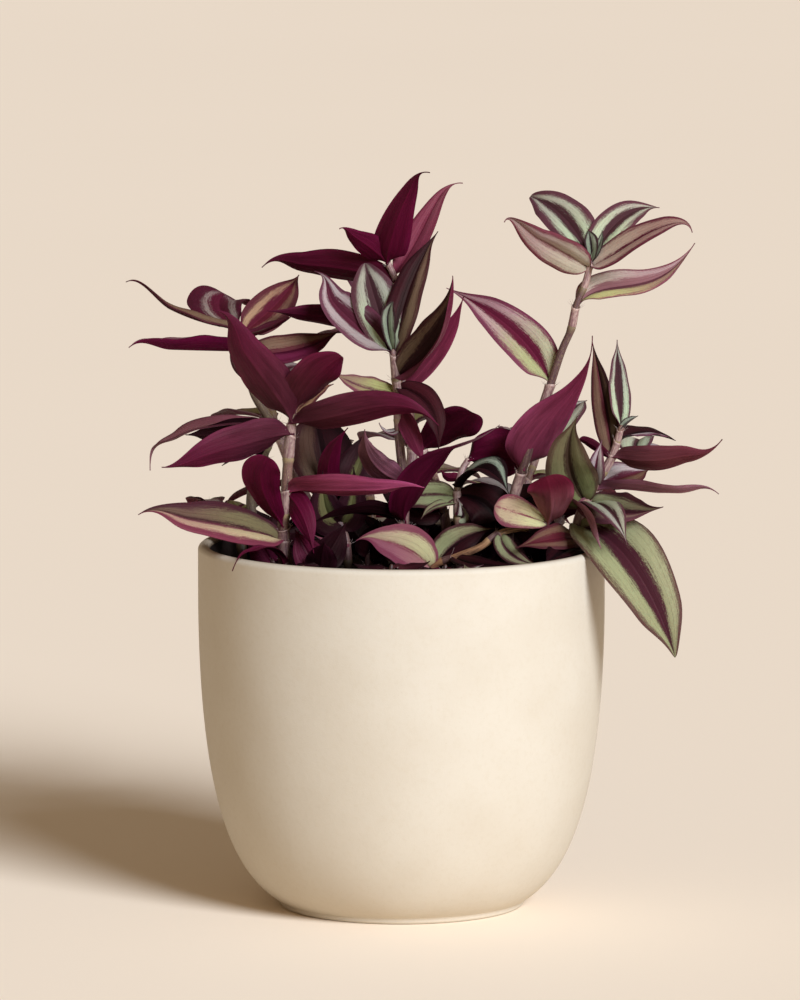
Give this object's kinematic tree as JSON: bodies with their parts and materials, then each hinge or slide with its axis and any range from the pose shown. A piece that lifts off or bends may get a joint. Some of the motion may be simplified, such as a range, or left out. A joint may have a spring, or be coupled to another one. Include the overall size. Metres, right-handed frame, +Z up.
{
  "type": "potted tradescantia",
  "caption": "House plant with upright and trailing stems of pointed, silver-striped, purple-backed leaves, rooted in a round tapering cream ceramic pot.",
  "frame": {"origin": "centre of the pot's flat underside", "axes": "+Z up along the pot's axis; the side that the picture shows looks along -Y; +X to its right"},
  "size_m": [0.2107, 0.1712, 0.2635],
  "materials": {
    "pot": "matte",
    "soil": "matte",
    "foliage": "satin"
  },
  "bodies": {
    "root": {"pot": "pot", "soil": "soil", "stem_left_front": "foliage", "stem_left_back": "foliage", "stem_centre_front": "foliage", "stem_centre_back": "foliage", "stem_right_tall": "foliage", "stem_right_low": "foliage", "stem_creeping": "foliage", "shoot_centre_low": "foliage", "shoot_left_low": "foliage", "stem_back_left": "foliage", "stem_back_centre": "foliage", "stem_back_right": "foliage", "stem_trailing_back": "foliage", "stem_side_right": "foliage", "stem_side_left": "foliage"}
  },
  "joints": []
}
